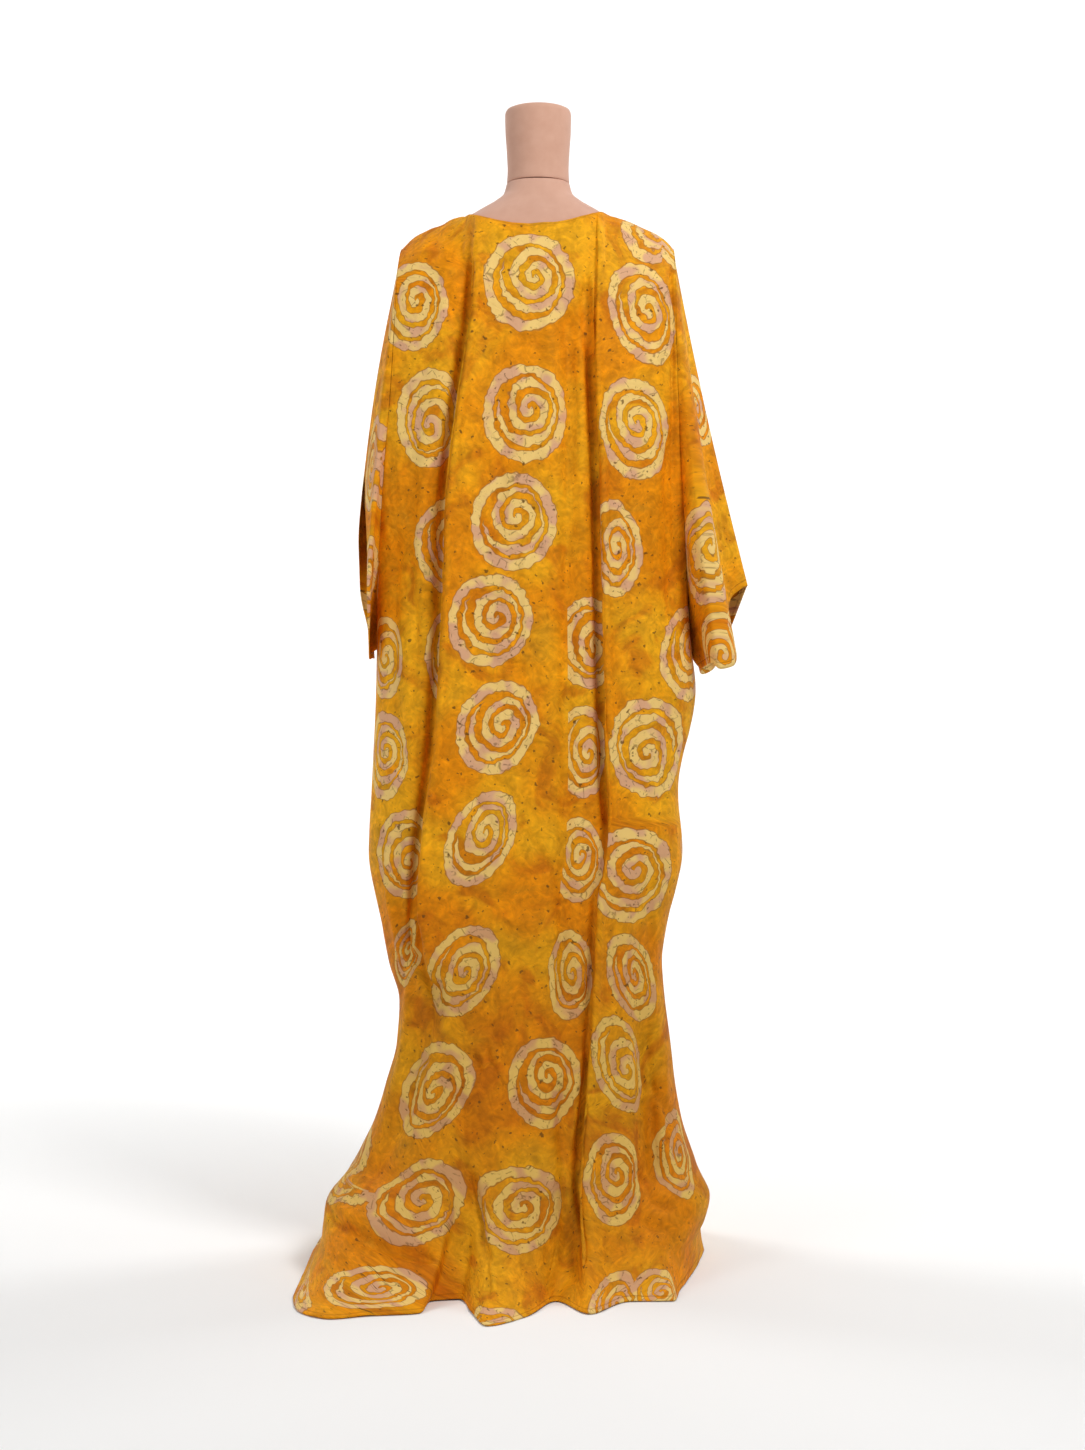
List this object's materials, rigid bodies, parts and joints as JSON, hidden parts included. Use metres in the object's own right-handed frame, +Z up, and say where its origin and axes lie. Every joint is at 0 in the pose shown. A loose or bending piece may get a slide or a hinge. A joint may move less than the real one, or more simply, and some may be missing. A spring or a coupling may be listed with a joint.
{
  "type": "grand boubou robe on a dress form",
  "caption": "Floor-length wide-cut robe in spiral wax-resist cotton, hung on a limbless dress form with a pole and a round base.",
  "frame": {"origin": "centre of the stand base's underside, on the floor", "axes": "+Z up along the pole; the robe's shown side, its back, faces -Y; +X is to the right in that view"},
  "size_m": [0.5983, 0.6891, 1.568],
  "materials": {
    "cotton": "matte wax-resist print",
    "form_cover": "matte knit cover",
    "stand_steel": "satin black"
  },
  "bodies": {
    "root": {"back_panel": "cotton", "front_panel": "cotton", "sleeve_left": "cotton", "sleeve_right": "cotton", "form_torso": "form_cover", "form_neck": "form_cover", "stand_pole": "stand_steel", "stand_base": "stand_steel"}
  },
  "joints": []
}
